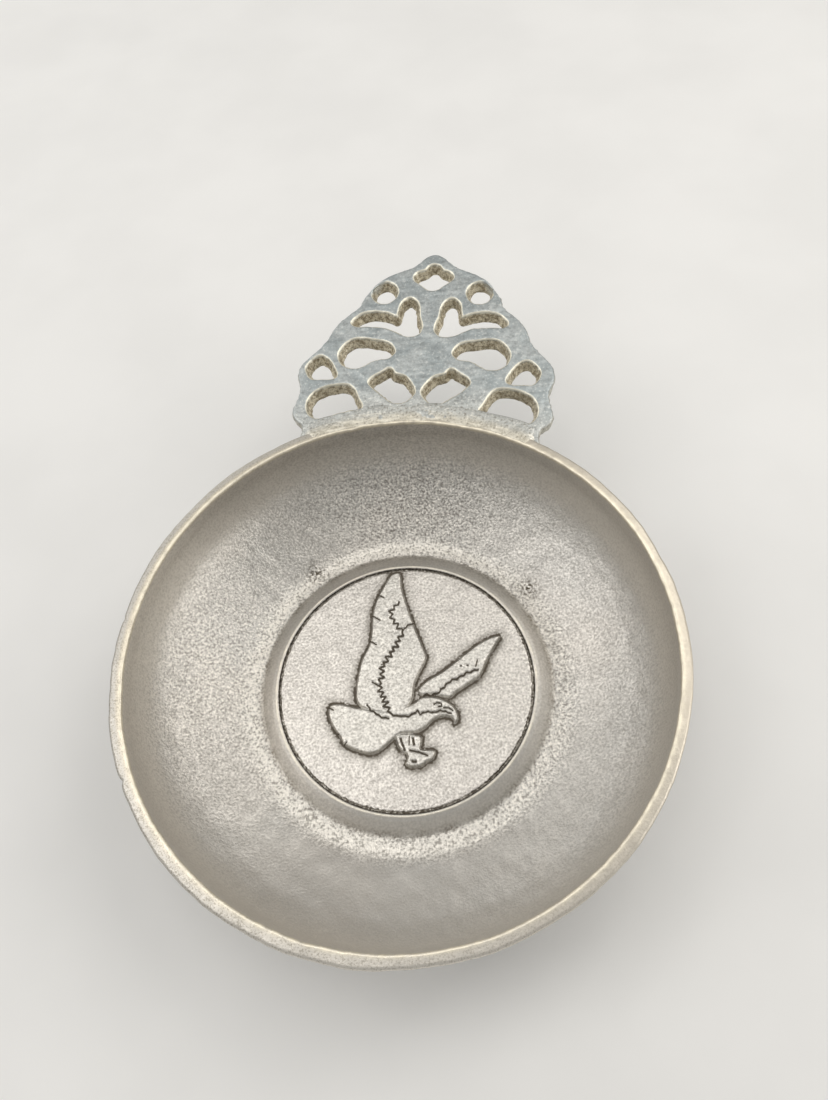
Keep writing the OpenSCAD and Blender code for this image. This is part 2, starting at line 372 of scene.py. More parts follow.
def handle_metal():
    """Rubbed smooth on top and speckled at "root"; the holes have painted highlights on their edges and
    gritty brown walls, darkened partly as painted shade.
    """
    m = Paint("cast_handle_metal")
    grain = m.noise(0.7, 3.0, 0.6)
    patches = m.noise(7.0, 4.0, 0.65)
    wall = m.mask("wall")
    root_zone = m.mask("root")
    base = m.mix(m.span(patches, 0.36, 0.64), (0.385, 0.43, 0.445), (0.505, 0.54, 0.545))
    base = m.mix(m.times(root_zone, 0.7), base, (0.56, 0.565, 0.54))
    speckle = m.plus(0.4, m.times(root_zone, 0.45))
    pits = m.times(m.span(grain, 0.36, 0.45, 0.75, 0.0), speckle)
    base = m.mix(pits, base, (0.24, 0.24, 0.225))
    glints = m.times(m.span(grain, 0.56, 0.64, 0.0, 0.8), speckle)
    base = m.mix(glints, base, (0.86, 0.86, 0.82))
    # painted highlights on the rounded edges of the holes
    base = m.mix(m.mask("bevel_highlight"), base, (0.95, 0.91, 0.77))
    # gritty brown hole walls, darkened partly as painted shade
    wall_dirt_and_shade = m.mix(m.span(m.noise(1.1, 4.0, 0.7), 0.38, 0.60), (0.38, 0.33, 0.24), (0.78, 0.73, 0.60))
    wall_dirt_and_shade = m.mix(m.span(m.noise(0.45, 2.0, 0.6), 0.38, 0.46, 0.5, 0.0), wall_dirt_and_shade, (0.13, 0.105, 0.07))
    base = m.mix(wall, base, wall_dirt_and_shade)
    rough = m.plus(m.span(grain, 0.3, 0.7, 0.44, 0.52), m.times(wall, 0.15))
    fine = m.bump(grain, 0.10, m.plus(0.45, m.times(wall, 0.55)))
    normal = m.bump(m.noise(3.0, 2.0, 0.5), 0.06, 0.6, fine)
    return m.finish(base, rough, normal)


def solder_metal():
    """Soft metal run over the root: the lip's cream tone at "lip", the handle's grey at its other side, and
    painted highlight streaks.
    """
    m = Paint("pitted_solder")
    grain = m.noise(0.7, 3.0, 0.65)
    blots = m.span(m.noise(3.2, 4.0, 0.65), 0.42, 0.62)
    base = m.mix(m.mask("lip"), (0.54, 0.55, 0.53), (0.68, 0.645, 0.56))
    lip_blots = m.times(m.times(blots, 0.5), m.mask("lip"))
    base = m.mix(lip_blots, base, (0.50, 0.465, 0.375))
    base = m.mix(m.span(grain, 0.36, 0.46, 0.65, 0.0), base, (0.26, 0.235, 0.19))
    base = m.mix(m.span(grain, 0.55, 0.66, 0.0, 0.6), base, (0.90, 0.875, 0.80))
    # painted highlight streaks
    base = m.mix(m.mask("highlight_streak"), base, (0.93, 0.89, 0.78))
    rough = m.span(grain, 0.3, 0.7, 0.56, 0.44)
    normal = m.bump(grain, 0.14, 0.8)
    return m.finish(base, rough, normal)


def medallion_metal(name, tone):
    """Light satin metal: "shade" is painted shade and shadow round the bird, "dark" the gritty lines."""
    m = Paint(name)
    grain = m.noise(0.66, 2.0, 0.6)
    warm = m.mix(m.span(m.noise(12.0, 3.0, 0.6), 0.35, 0.65), tone, tuple(c * 0.92 for c in tone))
    base = m.mix(m.span(grain, 0.37, 0.49, 0.5, 0.0), warm, (0.33, 0.31, 0.28))
    base = m.mix(m.span(grain, 0.53, 0.64, 0.0, 0.6), base, (0.93, 0.90, 0.84))
    # painted shade and shadow round the bird
    base = m.mix(m.mask("shade"), base, (0.17, 0.155, 0.13))
    ragged = m.gritty("dark")
    base = m.mix(ragged, base, (0.15, 0.13, 0.105))
    rough = m.plus(m.span(grain, 0.3, 0.7, 0.46, 0.38), m.times(ragged, 0.3))
    normal = m.bump(grain, 0.17, 0.8)
    return m.finish(base, rough, normal)


# ---------------------------------------------------------------- bowl

# Inside of the wall from the floor up, as (radius, height): a level ring, an even slope, a steep side
WALL = [
    (41, 3.5), (43, 3.5), (44.5, 3.7), (46, 4.2), (50, 6.1), (54, 8.2), (58, 10.7), (61, 12.9), (64, 15.9),
    (66, 19), (67.3, 23), (67.8, 27), (67.7, 31),
]


def smooth_line(points, steps):
    """Smooth curve through an open row of 2-D points, from the second to the last but one."""
    p = np.array(points, float)
    a, b, c, d = p[:-3], p[1:-2], p[2:-1], p[3:]
    out = []
    for j in range(steps):
        t = j / steps
        out.append(0.5 * (2 * b + (c - a) * t + (2 * a - 5 * b + 4 * c - d) * t * t
                          + (3 * b - a - 3 * c + d) * t ** 3))
    return np.vstack([np.stack(out, axis=1).reshape(-1, 2), p[-2]])


def path(corners):
    """Points along a row of corners, each (radius, height, count of points up to the next corner).

    The last corner itself is left out."""
    stretches = []
    for (r, z, count), (next_r, next_z, _) in zip(corners[:-1], corners[1:]):
        t = np.arange(count) / count
        stretches.append(np.outer(1 - t, (r, z)) + np.outer(t, (next_r, next_z)))
    return np.concatenate(stretches)


def bowl_section():
    """Half section of the bowl as (radius, height): from under the middle, round the lip, to the seat."""
    inside = smooth_line(WALL, 6)
    ahead = np.gradient(inside, axis=0)
    out = np.stack([ahead[:, 1], -ahead[:, 0]], 1) / np.linalg.norm(ahead, axis=1)[:, None]
    outside = inside + WALL_T * out
    outside = outside[outside[:, 0] > FOOT_R + 0.2]
    under = path([
        (MIDDLE_R, RECESS_Z, 12), (FOOT_IN_R - 1.4, RECESS_Z, 3), (FOOT_IN_R - 0.4, 0.35, 2),
        (FOOT_IN_R + 0.2, 0, 6), (FOOT_R - 0.3, 0, 2), (FOOT_R, 0.25, 4),
        (FOOT_R + 0.1, outside[0, 1] - 0.15, 0),
    ])
    lip = path([
        (*outside[-1], 5), (LIP_R + 0.1, LIP_H - 1.7, 3), (LIP_R + 0.1, LIP_H - 0.8, 3),
        (LIP_R - 0.1, LIP_H - 0.4, 3), (LIP_R - 0.5, LIP_H - 0.18, 5), (LIP_IN_R + 0.95, LIP_H - 0.04, 3),
        (LIP_IN_R + 0.5, LIP_H, 2), (LIP_IN_R + 0.15, LIP_H - 0.15, 2), (LIP_IN_R, LIP_H - 0.5, 7),
        (*inside[-1], 0),
    ])
    boss = path([
        (WALL[1][0], FLOOR_Z, 5), (BOSS_FOOT_R + 0.4, FLOOR_Z, 3), (BOSS_FOOT_R - 0.3, FLOOR_Z + 0.2, 8),
        (SEAT_R + 1.7, BOSS_Z - 0.38, 2), (SEAT_R + 1.2, BOSS_Z - 0.2, 2),
        (SEAT_R + 0.85, BOSS_Z - 0.05, 2), (SEAT_R + 0.6, BOSS_Z, 2), (SEAT_R + 0.25, BOSS_Z - 0.06, 2),
        (SEAT_R, BOSS_Z - 0.4, 4), (SEAT_R, SEAT_Z, 5), (MIDDLE_R, SEAT_Z, 0),
    ])
    return np.concatenate([under, outside[:-1], lip, inside[:0:-1], boss, [(MIDDLE_R, SEAT_Z)]])


def turned(angles, degrees, width_mm, radius):
    """A soft bump of unit height and the given width round one direction on a circle."""
    away = np.angle(np.exp(1j * (angles - math.radians(degrees)))) * radius
    return np.exp(-(away / width_mm) ** 2)


def spot(points, radius, degrees, width_mm):
    """A soft spot of unit height and the given width on the floor, at this radius and direction."""
    turn = math.radians(degrees)
    away = np.hypot(points[:, 0] - radius * math.cos(turn), points[:, 1] - radius * math.sin(turn))
    return np.exp(-(away / width_mm) ** 2) * (points[:, 2] > FLOOR_Z - 1)


def make_bowl():
    columns = 480
    section = bowl_section()
    angles = all_round(columns)
    radius = np.repeat(section[:, :1], columns, 1)
    height = np.repeat(section[:, 1:], columns, 1)
    # the lip wavers a little, with two nicks outside and a burr inside
    around = circle(angles, LIP_R)
    top = smoothstep(LIP_H - 4, LIP_H - 0.9, section[:, 1])[:, None]
    outer = smoothstep(LIP_IN_R + 0.9, LIP_R - 0.5, section[:, 0])[:, None]
    wobble_in = 0.05 * lumps(around, 12, 11) + 0.03 * lumps(around, 2.6, 12)
    wobble_out = 0.07 * lumps(around, 16, 13) + 0.035 * lumps(around, 3.6, 14) + 0.3
    wobble_top = 0.04 * lumps(around, 11, 15) + 0.02 * lumps(around, 3, 16) - 0.08
    uneven = 0.17 + 0.27 * np.cos(angles - math.radians(178)) + 0.2 * turned(angles, 271, 9, LIP_R)
    nicks = -0.55 * turned(angles, 212.2, 0.8, LIP_R) - 0.35 * turned(angles, 177.8, 0.7, LIP_R)
    burr = -0.4 * turned(angles, 106.4, 1.2, LIP_R)
    radius += top * (1 - outer) * (wobble_in + burr) + top * outer * (wobble_out + uneven + nicks)
    height += top * smoothstep(LIP_IN_R - 0.5, LIP_IN_R + 0.2, section[:, 0])[:, None] * wobble_top
    points = np.stack([radius * np.cos(angles), radius * np.sin(angles), height], -1).reshape(-1, 3)
    bowl = build("bowl_casting", points, turned_faces(len(section), columns))

    r, z = radius.ravel(), height.ravel()
    inside = (r < WALL_R + 0.1) & (z > FLOOR_Z - 0.2) & (z < LIP_H - 0.6) & (r > SEAT_R)
    lumpy = 0.05 * lumps(points, 8, 21) + 0.03 * lumps(points, 3.5, 22)
    fade = inside * smoothstep(40.3, 43, r) * (1 - smoothstep(LIP_H - 4, LIP_H - 1, z))
    points[:, 2] += fade * lumpy
    set_positions(bowl, points)
    paint_bowl(bowl, points, r, z, inside)
    bowl.data.materials.append(bowl_metal())
    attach(bowl, "root")
    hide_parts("bowl")


def paint_bowl(bowl, points, r, z, inside):
    """Masks for the bowl's metal, from each vertex's place, radius, height and whether it is inside."""
    heading = np.arctan2(points[:, 1], points[:, 0])

    def towards(degrees):
        """1 in this direction and -1 in the opposite one."""
        return np.cos(heading - math.radians(degrees))

    def wall_side(degrees, width_mm):
        return turned(heading, degrees, width_mm, WALL_MID_R)

    # lip
    lip = smoothstep(LIP_H - 1.3, LIP_H - 0.7, z)
    # painted highlight along the lip's inner edge
    lip_highlight = np.exp(-((r - LIP_IN_R - 0.4) / 0.5) ** 2) * lip * (0.8 + 0.2 * lumps(points, 2.2, 24))
    # painted shade on the lip's rounded outer part, strongest on the left
    lip_outer_shade = lip * smoothstep(LIP_R - 1.5, LIP_R - 0.5, r) * (0.5 + 0.5 * towards(185))
    specks = lip * (1 - lip_highlight) * (0.55 + 0.45 * towards(195))

    # boss: painted shade along its foot, a painted highlight on its crown and a dark edge round the seat
    boss = inside * (1 - smoothstep(BOSS_FOOT_R - 0.3, BOSS_FOOT_R + 0.4, r))
    foot_line = circle(heading, BOSS_FOOT_R)
    foot_width = np.where(r < BOSS_FOOT_R, 1.3, 0.45)
    foot_side = 0.56 - 0.08 * towards(165) + 0.18 * lumps(foot_line, 6, 23)
    # painted shade along the boss's foot, uneven round it
    foot = np.exp(-((r - BOSS_FOOT_R) / foot_width) ** 2) * inside * foot_side
    # painted highlight along the boss's crown
    crown = np.exp(-((r - SEAT_R - 0.6) / 0.28) ** 2) * (z > BOSS_Z - 0.4)
    crown_highlight = crown * (0.75 + 0.2 * lumps(foot_line, 4, 25))
    seat_edge = 0.6 * smoothstep(SEAT_R + 0.3, SEAT_R + 0.1, r) * (z > RECESS_Z + 1)

    # wall and floor
    upper = inside * smoothstep(12, 22, z)
    # painted shade: the upper left and the right walls made darker
    wall_shade_side = 0.13 * wall_side(136, 22) + 0.08 * wall_side(5, 30)
    wall_shade = inside * smoothstep(47, 53, r) * wall_shade_side
    soot = spot(points, 44.8, 132.8, 3.4) + spot(points, 45.0, 43.4, 3.0)
    soot += 0.6 * spot(points, 42.5, -119.5, 2.6)
    outside = 1.0 * ((z < LIP_H - 1) & ~inside & (r > FOOT_IN_R))
    smooth = np.clip(lip * 0.8 + boss * 0.8 + upper * 0.7 + 0.6 * outside, 0, 1)
    coarse_side = 0.15 + 1.1 * wall_side(93, 30) + 0.75 * wall_side(182, 40) + 0.35 * wall_side(5, 45)
    coarse = 1.05 + (coarse_side - 1.05) * smoothstep(43.5, 49, r)
    # painted light: the floor ring round the boss and the upper and near walls made paler, more in some
    # directions
    painted_light_ring = 0.52 - 0.34 * np.cos(heading) + 0.45 * np.sin(heading) ** 2
    tone_weight = 0.47 * upper * (1 - 0.8 * wall_side(90, 30) + 0.4 * wall_side(0, 40))
    tone_weight += 0.3 * inside * wall_side(270, 45) * smoothstep(46, 52, r)
    tone_weight += painted_light_ring * inside * np.exp(-((r - 43) / 2.4) ** 2)

    paint(bowl, "grain", (1 - smooth) * coarse)
    paint(bowl, "lip", lip)
    paint(bowl, "lip_outer_shade", lip_outer_shade)
    paint(bowl, "specks", np.clip(specks, 0, 1))
    paint(bowl, "tone_weight", np.clip(tone_weight, 0, 1))
    # painted light on the near side of the lip
    paint(bowl, "lip_near_light", 0.8 * lip * turned(heading, 272, 55, LIP_R))
    paint(bowl, "edge", np.clip(lip_highlight + crown_highlight * 0.6, 0, 1))
    paint(bowl, "soot", np.clip(soot, 0, 1))
    paint(bowl, "shade", np.clip(foot + wall_shade, 0, 1))
    paint(bowl, "dark", np.clip(seat_edge, 0, 1))


# ---------------------------------------------------------------- handle

# Right half of the outline, from where it leaves the lip to the tip
HANDLE_EDGE = [
    (34.2, 60.6), (34, 63.5), (34.4, 66), (36.8, 67.9), (37.8, 70.5), (37.5, 73.4), (36.8, 76),
    (36.7, 78.8), (37.6, 81.8), (38.2, 84.8), (37.2, 88.7), (35.2, 91.5), (33, 94), (31.2, 96.8),
    (30, 100.4), (28.6, 103.4), (26.7, 106), (24.2, 108.6), (22.3, 110.8), (21.6, 113.4), (20.2, 116.3),
    (18.5, 119), (16.4, 121.4), (13.9, 123.2), (10.8, 124.9), (7.7, 126.3), (4.9, 128.6), (2.4, 131.2),
    (0, 132.2),
]
TREFOIL = [
    (0, 117.1), (1.6, 117.7), (3.4, 119.4), (5.4, 121), (5.9, 122.8), (4.6, 124.4), (2.6, 125.2),
    (1.4, 126.9), (0, 127.4),
]
SCROLL = [
    (23.6, 103.9), (22.7, 105.7), (20.4, 107.6), (16.8, 108.2), (13, 107.6), (10, 106.3), (9.4, 108.2),
    (8.8, 111.8), (6.6, 113.8), (4.5, 112.2), (3.6, 109.6), (3.4, 106.6), (2.4, 103.4), (2.6, 100.8),
    (4.4, 99.4), (7, 99.5), (10.4, 101.2), (13.8, 102.6), (17.6, 102.9), (21.8, 102.9),
]
BEAN = [
    (9.1, 92.8), (9.9, 95.2), (12, 96.7), (15.2, 97.2), (18.6, 97.8), (21.6, 97.6), (24.2, 95.4),
    (25.4, 92.4), (24.6, 89.4), (22.4, 87.5), (19.4, 87.3), (16.8, 88.8), (14.2, 90.5), (11, 91),
]
SMALL_ARCH = [
    (34.5, 86.2), (33.4, 88.8), (31.2, 90.6), (28.8, 89.5), (26.8, 86.8), (25.4, 83.6), (27, 82.6),
    (30, 82.6), (32.8, 82.8),
]
LEAF = [
    (1.3, 79.2), (2.7, 82), (4.6, 84.2), (7.4, 85.1), (9.1, 87.1), (11, 85.7), (13.7, 83.8), (14.6, 82),
    (12.4, 79.5), (9.6, 77.2), (7, 75.2), (4.4, 75.2), (2.1, 77),
]
ARCH = [
    (17.3, 73.2), (18.8, 75.8), (20.2, 78.8), (22.2, 80.4), (25.8, 80.3), (29.4, 79.2), (32, 77.2),
    (33.2, 74.2), (32.6, 71), (30.6, 69.2), (27.6, 69.4), (24, 70.8), (20.2, 71.9), (17.8, 72.3),
]
# The piercings were sawn by hand, so each pair sits a little off the middle line: (outline, shift sideways,
# shift along the handle, how much lower the right hole is than the pair's middle)
PAIRS = [
    (SCROLL, -0.1, -0.1, 0.1), (BEAN, -0.8, -0.2, 0.1), (SMALL_ARCH, -1, -0.2, 0.6), (LEAF, -1.3, -0.3, 0),
    (ARCH, -0.2, -0.4, 0.4),
]
ROUND_HOLE_R = 3.9
ROUND_HOLE_AT = (14.8, 116)
# Section of the plate's edges and holes: (depth below the top face, how far the edge is drawn in, how far
# the holes are narrowed)
PLATE_LEVELS = [
    (0.0, 0.5, -0.6), (0.35, 0.2, -0.3), (0.9, 0.0, 0.0), (1.4, 0.0, 0.12), (3.5, 0.25, 0.85),
    (HANDLE_T, 0.6, 0.7),
]


def round_hole(side):
    """The round hole on one side, a little longer than wide."""
    turn = all_round(40)
    x = side * ROUND_HOLE_AT[0] + ROUND_HOLE_R * 0.95 * np.cos(turn)
    y = ROUND_HOLE_AT[1] + ROUND_HOLE_R * 1.05 * np.sin(turn)
    return np.stack([x, y], 1)


def root():
    """Points along the arc where the plate ends inside the lip, from the middle line to the right."""
    turns = np.radians(np.arange(0, 29, 4))
    return [(ROOT_R * math.sin(turn), ROOT_R * math.cos(turn)) for turn in turns]


def plate_outline(steps):
    return smooth_loop(both_sides(root() + HANDLE_EDGE), steps)


def piercings():
    """Every hole of the handle as a closed loop at the top face."""
    loops = [smooth_loop(both_sides(TREFOIL), EDGE_STEPS), round_hole(1), round_hole(-1)]
    for outline, sideways, along, lower in PAIRS:
        for side in (-1, 1):
            drawn = [(side * x + sideways, y + along - side * lower) for x, y in outline]
            loops.append(smooth_loop(drawn, EDGE_STEPS))
    return loops


def even(loop, spacing):
    """The same closed loop with points at an even spacing, running anticlockwise."""
    closed = np.vstack([loop, loop[:1]])
    along = np.concatenate([[0], np.cumsum(np.linalg.norm(np.diff(closed, axis=0), axis=1))])
    count = max(12, int(along[-1] / spacing))
    at = np.linspace(0, along[-1], count, endpoint=False)
    out = np.stack([np.interp(at, along, closed[:, 0]), np.interp(at, along, closed[:, 1])], 1)
    area = (out[:, 0] * np.roll(out[:, 1], -1) - np.roll(out[:, 0], -1) * out[:, 1]).sum()
    return out if area > 0 else out[::-1]


def grown(loop, amount):
    """An anticlockwise loop moved outwards by amount."""
    ahead = np.roll(loop, -2, 0) - np.roll(loop, 2, 0)
    ahead /= np.linalg.norm(ahead, axis=1)[:, None] + 1e-12
    return loop + amount * np.stack([ahead[:, 1], -ahead[:, 0]], 1)


def to_handle_plane(points):
    """Swings points drawn flat at the lip's height up to the handle's tilt, about its root."""
    c, s = math.cos(HANDLE_TILT), math.sin(HANDLE_TILT)
    y, z = points[:, 1] - LIP_R, points[:, 2]
    return np.stack([points[:, 0], LIP_R + y * c - z * s, LIP_H + y * s + z * c], 1)


def plate_mesh():
    """Vertices and faces of the pierced plate, its top face flat at height 0."""
    edge = even(plate_outline(EDGE_STEPS), 0.6)
    holes = [even(loop, 0.5) for loop in piercings()]
    vertices, faces = [], []

    def ring(loop, depth):
        start = len(vertices)
        vertices.extend((x, y, -depth) for x, y in loop)
        return np.arange(start, start + len(loop))

    rings = []
    for depth, edge_in, hole_in in PLATE_LEVELS:
        outer_ring = ring(grown(edge, -edge_in), depth)
        rings.append([outer_ring] + [ring(grown(hole, -hole_in), depth) for hole in holes])
    for upper, lower in zip(rings[:-1], rings[1:]):
        for number, (a, b) in enumerate(zip(upper, lower)):
            quads = np.stack([a, b, np.roll(b, -1), np.roll(a, -1)], 1)
            faces.extend((quads if number == 0 else quads[:, ::-1]).tolist())
    for rings_at, flip in ((rings[0], False), (rings[-1], True)):
        fill(vertices, faces, rings_at, flip)
    return np.array(vertices), faces


def fill(vertices, faces, rings, flip):
    """Adds the flat face between the first ring and the others, which are holes in it."""
    index = np.concatenate(rings)
    flat = [Vector(vertices[i][:2]) for i in index]
    loops, start = [], 0
    for ring in rings:
        loops.append(list(range(start, start + len(ring))))
        start += len(ring)
    edges = [(loop[i], loop[(i + 1) % len(loop)]) for loop in loops for i in range(len(loop))]
    corners, _, triangles, came_from, _, _ = delaunay_2d_cdt(flat, edges, [], 0, 1e-7)
    depth = vertices[index[0]][2]
    number = []
    for corner, origin in zip(corners, came_from):
        if origin:
            number.append(int(index[origin[0]]))
        else:
            number.append(len(vertices))
            vertices.append((corner[0], corner[1], depth))
    centres = np.array([np.mean([corners[i] for i in t], axis=0) for t in triangles])
    keep = distance_to_loop(centres, np.array([flat[i] for i in loops[0]])) < 0
    for loop in loops[1:]:
        keep &= distance_to_loop(centres, np.array([flat[i] for i in loop])) > 0
    for triangle, kept in zip(triangles, keep):
        if kept:
            face = [number[i] for i in triangle]
            faces.append(face[::-1] if flip else face)


def make_handle():
    handle = build("handle_casting", *plate_mesh())
    remesh = handle.modifiers.new("even_quads", "REMESH")
    remesh.mode = "VOXEL"
    remesh.voxel_size = 0.31 * MM
    soften = handle.modifiers.new("worn_edges", "SMOOTH")
    soften.factor = 0.5
    soften.iterations = 6
    apply_modifiers(handle)

    flat = positions(handle)
    normals = np.empty(len(handle.data.vertices) * 3)
    handle.data.vertices.foreach_get("normal", normals)
    normals = normals.reshape(-1, 3)
    wall = 1 - smoothstep(0.35, 0.75, np.abs(normals[:, 2]))
    # painted highlights on the rounded edges of the holes
    bevel_highlight = smoothstep(0.97, 0.88, normals[:, 2]) * smoothstep(0.45, 0.7, normals[:, 2])
    rise = 0.06 * lumps(flat, 7, 31) + 0.035 * lumps(flat, 2.4, 32) + wall * 0.07 * lumps(flat, 1.5, 33)
    flat += normals * (rise - 0.06)[:, None]
    set_positions(handle, to_handle_plane(flat))
    depth_in = -distance_to_loop(flat[:, :2], plate_outline(3))
    by_hole = smoothstep(1.0, 1.8, depth_in)
    away = np.hypot(flat[:, 0], flat[:, 1])
    paint(handle, "wall", wall * (0.45 + 0.55 * by_hole))
    paint(handle, "bevel_highlight", bevel_highlight * by_hole * 0.9)
    paint(handle, "root", 0.15 + 0.85 * (1 - smoothstep(73, 84, away)))
    handle.data.materials.append(handle_metal())
    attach(handle, "root")
    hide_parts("handle")


# ---------------------------------------------------------------- solder

def seam_mesh(name, rows, columns, surface, thickness):
    """A closed strip along the handle's root.

    surface(share of the width, angle) gives its outer face. The other face lies below it, or above it where
    thickness, its distance in the middle, is negative."""
    along = np.linspace(0, 1, rows)
    across = np.linspace(-1, 1, columns)
    angle = np.radians(90) + np.radians(SEAM_HALF_ANGLE) * across
    a, t = np.meshgrid(along, angle, indexing="ij")
    front = surface(a.ravel(), t.ravel())
    back = front.copy()
    inner = np.sin(math.pi * a.ravel()) * np.tile(np.cos(across * math.pi / 2), rows)
    back[:, 2] -= 0.1 + thickness * inner
    points = np.vstack([front, back])
    top = grid_faces(rows, columns, False)
    count = rows * columns
    index = np.arange(count).reshape(rows, columns)
    border = np.concatenate([index[0, :], index[1:, -1], index[-1, -2::-1], index[-2:0:-1, 0]])
    following = np.roll(border, -1)
    sides = np.stack([following, border, border + count, following + count], 1)
    return build(name, points, np.concatenate([top, top[:, ::-1] + count, sides]))


def plate_top(y):
    """Height of the handle's top face this far along it."""
    return LIP_H + (y - LIP_R) * math.tan(HANDLE_TILT)


def top_seam_surface(a, t):
    r = SEAM_R + SEAM_W * a + a * 0.2 * lumps(circle(t, LIP_R), 12, 41)
    x, y = r * np.cos(t), r * np.sin(t)
    ends = smoothstep(0, 0.06, 1 - np.abs(t - math.pi / 2) / math.radians(SEAM_HALF_ANGLE))
    lip_z = LIP_H - 0.08
    z = lip_z + (plate_top(y) - lip_z) * smoothstep(0.1, 0.9, a)
    points = np.stack([x, y, z], 1)
    hump = 0.14 + 0.04 * lumps(points, 4.0, 42) + 0.025 * lumps(points, 1.3, 43)
    z = z + hump * np.sin(math.pi * a) - 0.04 - 0.1 * smoothstep(0.8, 1, a)
    return np.stack([x, y, z - (1 - ends) * 0.5], 1)


def under_seam_surface(a, t):
    low_z = LIP_H - UNDER_SEAM_DROP
    r = UNDER_SEAM_R + UNDER_SEAM_W * smoothstep(0, 1, a) * a
    x, y = r * np.cos(t), r * np.sin(t)
    under = plate_top(y) - HANDLE_T
    z = low_z + (under + 0.1 - low_z) * np.sqrt(a)
    return np.stack([x, y, z], 1)


def make_seam_top():
    seam = seam_mesh("solder_seam_top", 30, 320, top_seam_surface, 0.9)
    seam.data.flip_normals()
    x, y, _ = positions(seam).T
    away, turn = np.hypot(x, y), np.arctan2(y, x)
    paint(seam, "lip", 1 - smoothstep(69, 72.5, away))
    swept = np.column_stack([away * 4, turn * LIP_R, 0 * away])
    # painted highlight streaks along the seam
    highlight_streak = 0.55 * smoothstep(0.3, 1.6, lumps(swept, 5, 44))
    paint(seam, "highlight_streak", highlight_streak * (1 - smoothstep(70.5, 73, away)))
    seam.data.materials.append(solder_metal())
    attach(seam, "root")
    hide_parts("solder_seam_top")


def make_seam_under():
    seam = seam_mesh("solder_seam_under", 12, 160, under_seam_surface, -1.2)
    seam.data.materials.append(solder_metal())
    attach(seam, "root")
    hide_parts("solder_seam_under")


# ---------------------------------------------------------------- medallion and bird

# Outlines of the bird, in the plane of the medallion
BODY = [
    (-9.5, -8.3), (-13, -8), (-17, -7.3), (-19.8, -8), (-20, -10.5), (-18.4, -13.8), (-15.6, -17),
    (-14.6, -18.6), (-11, -20), (-7.4, -20.6), (-4.6, -19.5), (-1.6, -16.4), (0.6, -14.6), (4.2, -14.1),
    (6.6, -12.7), (8.8, -10.3), (10.8, -9.3), (12.8, -9.2), (13.7, -9.8), (14.2, -11), (15.3, -9.8),
    (15, -7.8), (13.6, -5.8), (11.4, -4.5), (8.6, -3.7), (5, -4), (2, -6.4), (-4, -8.4),
]
TALL_WING = [
    (-12.6, -6.8), (-13.4, -2.8), (-13.3, 1.6), (-12.8, 5.8), (-11.3, 10.2), (-11.2, 14.6), (-11.5, 20),
    (-10.8, 24.6), (-8.8, 30), (-7.3, 32.8), (-4.6, 33.2), (-3.6, 28.4), (-1.6, 23), (1.4, 16), (4.2, 10.2),
    (5.4, 7.2), (4.2, 3.6), (2.8, -0.6), (2.6, -5), (0, -8.6), (-6, -9.4), (-10, -8.6),
]
FAR_WING = [
    (3.6, -2.2), (6, 0.8), (10.2, 3.8), (15, 8.4), (19.6, 12.6), (23.6, 14.9), (25.4, 14.7), (24, 11.6),
    (22.2, 7.6), (20.5, 2.9), (17.4, 0.2), (14.2, -2.4), (12.4, -4), (8.6, -3.4), (5, -3.9),
]
TALONS = [
    (-0.8, -14.6), (-0.5, -17.4), (0.6, -19), (2.3, -20), (2.4, -21.2), (2.1, -22.3), (3, -23.1),
    (4.7, -23.2), (6.7, -22.7), (7.8, -21.7), (9.2, -20.9), (10, -19.4), (9.9, -18.4), (8.9, -18),
    (6.1, -18.1), (6.2, -16.6), (5.4, -14.4),
]


def bird_distance(points):
    """Distance from 2-D points to the bird's outline, negative on the bird."""
    outlines = [smooth_loop(part, 3) for part in (BODY, TALL_WING, FAR_WING, TALONS)]
    return np.min([distance_to_loop(points, outline) for outline in outlines], axis=0)


def zigzag(points, teeth, height, seed):
    """A line through the points, broken into small teeth like the edge of a row of feathers."""
    rng = np.random.default_rng(seed)
    p = np.array(points, float)
    along = np.concatenate([[0], np.cumsum(np.linalg.norm(np.diff(p, axis=0), axis=1))])
    at = np.linspace(0, along[-1], teeth)
    line_at = np.stack([np.interp(at, along, p[:, 0]), np.interp(at, along, p[:, 1])], 1)
    ahead = np.gradient(line_at, axis=0)
    ahead /= np.linalg.norm(ahead, axis=1)[:, None]
    swing = height * rng.uniform(0.5, 1.2, teeth) * np.where(np.arange(teeth) % 2, 1, -1)
    swing[[0, -1]] = 0
    return line_at + np.stack([-ahead[:, 1], ahead[:, 0]], 1) * swing[:, None]


